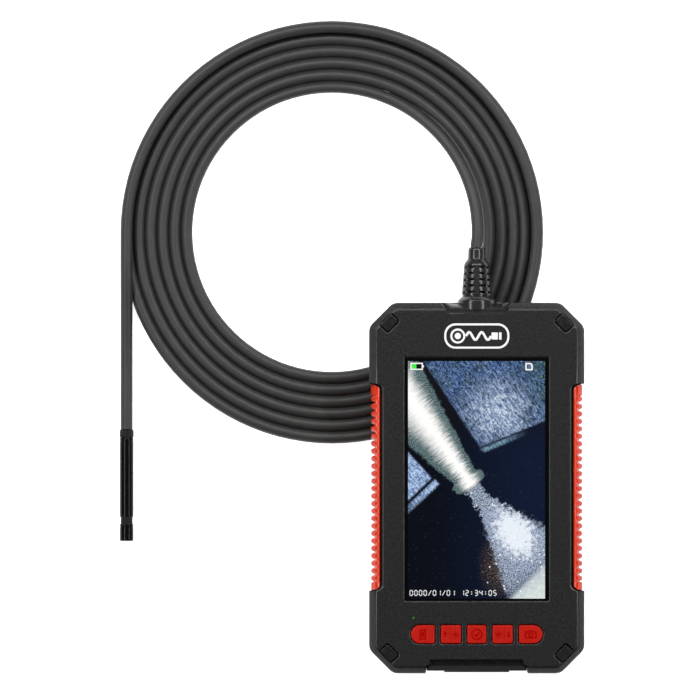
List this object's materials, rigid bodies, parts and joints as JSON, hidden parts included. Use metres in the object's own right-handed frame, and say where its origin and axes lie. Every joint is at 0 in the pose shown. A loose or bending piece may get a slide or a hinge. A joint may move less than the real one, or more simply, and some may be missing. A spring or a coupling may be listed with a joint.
{
  "type": "inspection camera",
  "caption": "Handheld inspection camera: a handset with a screen, sprung keys and side grips, and a coiled flexible lead that ends in a slim camera head.",
  "frame": {"origin": "middle of the base of the handset lying on its back", "axes": "+Z out of the screen, +Y towards the end that the lead leaves by, +X to the right of the screen"},
  "size_m": [0.1862, 0.2615, 0.0307],
  "materials": {
    "shell": "fine textured",
    "seal": "matt",
    "grip": "satin",
    "pad": "gloss",
    "window": "clear, black border",
    "display": "lit picture",
    "bright_metal": "plain",
    "dark_metal": "black zinc",
    "print_white": "printed",
    "board": "solder mask",
    "black_plastic": "moulded",
    "key_rubber": "matt",
    "key": "satin",
    "lamp": "clear green",
    "lamp_white": "clear",
    "cell_wrap": "shrink sleeve",
    "contact": "nickel plated",
    "pale_plastic": "moulded",
    "lead": "satin",
    "relief": "satin",
    "head_metal": "gloss black",
    "lens": "clear"
  },
  "bodies": {
    "handset": {"front_shell": "shell", "rear_shell": "shell", "shell_gasket": "seal", "grip_left": "grip", "grip_right": "grip", "corner_pads": "pad", "screen_window": "window", "window_gasket": "seal", "display_panel": "display", "display_frame": "bright_metal", "front_badge": "print_white", "main_board": "board", "board_screws": "bright_metal", "key_switches": "black_plastic", "keypad_mat": "key_rubber", "status_led": "lamp", "light_pipe": "lamp", "battery_cell": "cell_wrap", "battery_cradle": "black_plastic", "battery_contacts": "contact", "usb_port": "bright_metal", "card_slot": "bright_metal", "memory_card": "black_plastic", "case_screws": "dark_metal", "cover_pin": "bright_metal", "lead_clamp": "bright_metal", "clamp_screws": "bright_metal", "lead_connector": "pale_plastic", "lead_entry": "lead", "strain_relief": "relief", "cable_lead": "lead", "cable_coil": "lead", "cable_tail": "lead", "probe_collar": "relief", "probe_barrel": "head_metal", "probe_seal": "seal", "probe_tip": "head_metal", "lens_window": "lens", "lens_barrel": "black_plastic", "image_sensor": "black_plastic", "led_ring": "pale_plastic", "probe_leds": "lamp_white"},
    "key_menu": {"key_menu": "key"},
    "key_up": {"key_up": "key"},
    "key_ok": {"key_ok": "key"},
    "key_down": {"key_down": "key"},
    "key_camera": {"key_camera": "key"},
    "port_cover": {"port_cover": "seal"}
  },
  "joints": [
    {"name": "key_menu_press", "type": "slide", "parent": "handset", "child": "key_menu", "axis": [0, 0, -1], "range_m": [0, 0.0008], "stiffness_N_per_m": 400},
    {"name": "key_up_press", "type": "slide", "parent": "handset", "child": "key_up", "axis": [0, 0, -1], "range_m": [0, 0.0008], "stiffness_N_per_m": 400},
    {"name": "key_ok_press", "type": "slide", "parent": "handset", "child": "key_ok", "axis": [0, 0, -1], "range_m": [0, 0.0008], "stiffness_N_per_m": 400},
    {"name": "key_down_press", "type": "slide", "parent": "handset", "child": "key_down", "axis": [0, 0, -1], "range_m": [0, 0.0008], "stiffness_N_per_m": 400},
    {"name": "key_camera_press", "type": "slide", "parent": "handset", "child": "key_camera", "axis": [0, 0, -1], "range_m": [0, 0.0008], "stiffness_N_per_m": 400},
    {"name": "port_cover_hinge", "type": "hinge", "parent": "handset", "child": "port_cover", "pos_m": [0, -0.072, 0.0142], "axis": [1, 0, 0], "range_deg": [0, 90]}
  ]
}
